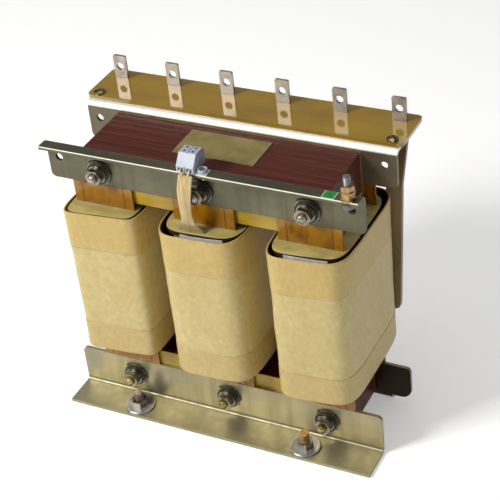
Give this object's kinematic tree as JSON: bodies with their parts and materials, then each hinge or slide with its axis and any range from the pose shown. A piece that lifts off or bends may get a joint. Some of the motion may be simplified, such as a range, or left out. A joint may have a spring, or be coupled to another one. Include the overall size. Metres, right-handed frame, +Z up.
{
  "type": "filter_reactor",
  "caption": "Three-phase filter reactor: gapped laminated core with wrapped foil coils between folded clamps, flat terminals upright through a rear board, earth stud and thermal switch block",
  "frame": {"origin": "On the floor plane, below the middle of the bounding box", "axes": "X along the core, positive to the side with the earth stud; Y from the clamp nuts at the front to the terminals at the rear; Z up"},
  "size_m": [0.287, 0.1494, 0.28],
  "materials": {
    "core_iron": "satin",
    "gap_board": "matt",
    "plate_gold": "satin",
    "zinc_sheet": "satin",
    "strip_yellow": "gloss",
    "former_amber": "gloss",
    "flap_amber": "gloss",
    "foil": "bright",
    "ring_cream": "satin",
    "stick_tan": "matt",
    "wrap_cream": "satin",
    "bolt_gold": "satin",
    "sleeve_ivory": "matt",
    "steel_bright": "satin",
    "insulation_black": "matt",
    "stud_silver": "satin",
    "earth_brass": "satin",
    "board_ochre": "gloss",
    "lead_metal": "satin",
    "lead_sleeve": "satin",
    "block_grey": "satin",
    "contact_brass": "satin",
    "foot_pale": "satin",
    "wire_pale": "satin",
    "cloth_pale": "matt",
    "switch_body": "satin"
  },
  "bodies": {
    "root": {"core_yoke_top": "core_iron", "core_yoke_bottom": "core_iron", "core_limb_left": "core_iron", "core_limb_middle": "core_iron", "core_limb_right": "core_iron", "air_gap_plates": "gap_board", "nameplate_blank": "plate_gold", "clamp_top_front": "zinc_sheet", "clamp_top_rear": "zinc_sheet", "clamp_bottom_front": "zinc_sheet", "clamp_bottom_rear": "zinc_sheet", "strip_top_front": "strip_yellow", "strip_top_rear": "strip_yellow", "strip_bottom_front": "strip_yellow", "strip_bottom_rear": "strip_yellow", "coil_former_left": "former_amber", "coil_former_middle": "former_amber", "coil_former_right": "former_amber", "flap_boards_left": "flap_amber", "flap_boards_middle": "flap_amber", "flap_boards_right": "flap_amber", "foil_winding_left": "foil", "foil_winding_middle": "foil", "foil_winding_right": "foil", "end_rings_left": "ring_cream", "end_rings_middle": "ring_cream", "end_rings_right": "ring_cream", "duct_sticks": "stick_tan", "coil_wrap_left": "wrap_cream", "coil_wrap_middle": "wrap_cream", "coil_wrap_right": "wrap_cream", "clamp_bolts_top": "stud_silver", "clamp_bolts_bottom": "bolt_gold", "bolt_sleeves": "sleeve_ivory", "clamp_nuts": "steel_bright", "lock_washers": "steel_bright", "steel_washers": "steel_bright", "insulating_washers": "insulation_black", "plate_washers": "steel_bright", "insulating_squares": "insulation_black", "foot_studs": "stud_silver", "foot_washers": "steel_bright", "foot_nuts": "steel_bright", "earth_stud": "stud_silver", "earth_washers": "earth_brass", "earth_nuts": "earth_brass", "terminal_board": "board_ochre", "board_screws": "stud_silver", "board_nuts": "stud_silver", "lead_bars": "lead_metal", "lead_sleeves": "lead_sleeve", "terminal_block": "block_grey", "block_contacts": "contact_brass", "block_foot": "foot_pale", "block_screw": "stud_silver", "sensor_wires": "wire_pale", "cloth_sleeve": "cloth_pale", "thermal_switch": "switch_body"}
  },
  "joints": []
}
